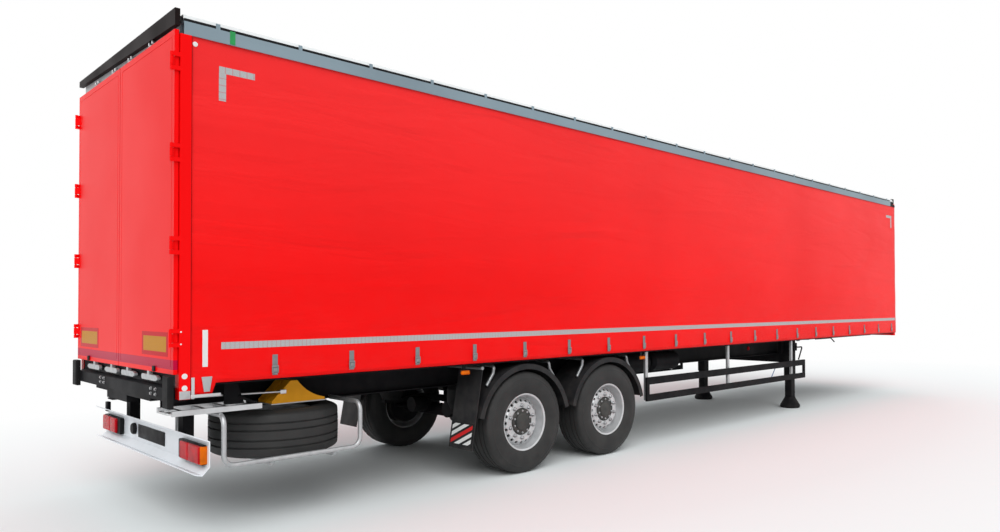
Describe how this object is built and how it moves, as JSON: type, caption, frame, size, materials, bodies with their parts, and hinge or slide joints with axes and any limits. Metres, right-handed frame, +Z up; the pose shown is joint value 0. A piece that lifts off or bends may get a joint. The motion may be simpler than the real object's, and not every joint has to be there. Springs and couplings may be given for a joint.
{
  "type": "semi trailer",
  "caption": "Curtain-side semi trailer with gooseneck chassis, air-sprung tandem axles, hinged rear doors and landing legs, parked uncoupled.",
  "frame": {"origin": "centre of the bounding box on the ground", "axes": "+X forward towards the kingpin, +Y left, +Z up"},
  "size_m": [13.76, 2.55, 3.875],
  "materials": {
    "red_paint": "gloss",
    "black_paint": "satin",
    "dark_paint": "satin",
    "white_paint": "satin",
    "header_paint": "satin",
    "rail_aluminium": "satin",
    "galvanised": "matt",
    "bare_steel": "machined",
    "ladder_aluminium": "satin",
    "wheel_silver": "satin",
    "hub_paint": "painted",
    "tyre_rubber": "matt",
    "buffer_rubber": "matt",
    "curtain_cloth": "gloss coated",
    "tarp_cloth": "coated",
    "strap_grey": "matt",
    "guard_plastic": "grained",
    "floor_wood": "coated plywood",
    "chock_plastic": "grained",
    "lamp_red": "gloss",
    "lamp_amber": "gloss"
  },
  "bodies": {
    "chassis": {"floor_deck": "floor_wood", "floor_side_rails": "galvanised", "main_rails": "black_paint", "cross_members": "black_paint", "outriggers": "black_paint", "coupling_plate": "black_paint", "kingpin": "bare_steel", "rear_sill": "black_paint", "dock_buffers": "buffer_rubber", "rear_corner_posts": "red_paint", "rear_header": "header_paint", "front_wall": "red_paint", "front_corner_posts": "red_paint", "roof_side_rails": "rail_aluminium", "roof_bows": "galvanised", "roof_tarp": "tarp_cloth", "roof_end_beams": "dark_paint", "side_pillars": "galvanised", "curtain_right": "curtain_cloth", "curtain_left": "curtain_cloth", "curtain_buckles": "strap_grey", "landing_legs": "black_paint", "landing_cross_beam": "black_paint", "side_guard_rails": "black_paint", "side_guard_struts": "galvanised", "suspension_hangers": "black_paint", "trailing_arms": "black_paint", "air_springs": "buffer_rubber", "axle_beams": "black_paint", "brake_chambers": "black_paint", "spare_tyre": "tyre_rubber", "spare_rim": "wheel_silver", "spare_wheel_basket": "galvanised", "access_ladder": "ladder_aluminium", "wheel_chocks": "chock_plastic", "air_tanks": "black_paint", "front_connections": "black_paint", "marker_lamps": "lamp_amber", "mudguards": "guard_plastic", "mudguard_stays": "galvanised", "underrun_beam": "white_paint", "underrun_posts": "black_paint", "rear_lamps": "lamp_red"},
    "wheel_rear_right": {"tyre_rear_right": "tyre_rubber", "rim_rear_right": "wheel_silver", "hub_rear_right": "hub_paint"},
    "wheel_rear_left": {"tyre_rear_left": "tyre_rubber", "rim_rear_left": "wheel_silver", "hub_rear_left": "hub_paint"},
    "wheel_front_right": {"tyre_front_right": "tyre_rubber", "rim_front_right": "wheel_silver", "hub_front_right": "hub_paint"},
    "wheel_front_left": {"tyre_front_left": "tyre_rubber", "rim_front_left": "wheel_silver", "hub_front_left": "hub_paint"},
    "door_right": {"door_right_panel": "red_paint", "door_right_locks": "galvanised"},
    "door_left": {"door_left_panel": "red_paint", "door_left_locks": "galvanised"}
  },
  "joints": [
    {"name": "wheel_rear_right_spin", "type": "hinge", "parent": "chassis", "child": "wheel_rear_right", "pos_m": [-3.382, -1.07, 0.525], "axis": [0, 1, 0], "continuous": true},
    {"name": "wheel_rear_left_spin", "type": "hinge", "parent": "chassis", "child": "wheel_rear_left", "pos_m": [-3.382, 1.07, 0.525], "axis": [0, 1, 0], "continuous": true},
    {"name": "wheel_front_right_spin", "type": "hinge", "parent": "chassis", "child": "wheel_front_right", "pos_m": [-2.052, -1.07, 0.525], "axis": [0, 1, 0], "continuous": true},
    {"name": "wheel_front_left_spin", "type": "hinge", "parent": "chassis", "child": "wheel_front_left", "pos_m": [-2.052, 1.07, 0.525], "axis": [0, 1, 0], "continuous": true},
    {"name": "door_right_hinge", "type": "hinge", "parent": "chassis", "child": "door_right", "pos_m": [-6.86, -1.262, 2.5], "axis": [0, 0, 1], "range_deg": [0, 270]},
    {"name": "door_left_hinge", "type": "hinge", "parent": "chassis", "child": "door_left", "pos_m": [-6.86, 1.262, 2.5], "axis": [0, 0, -1], "range_deg": [0, 270]}
  ]
}
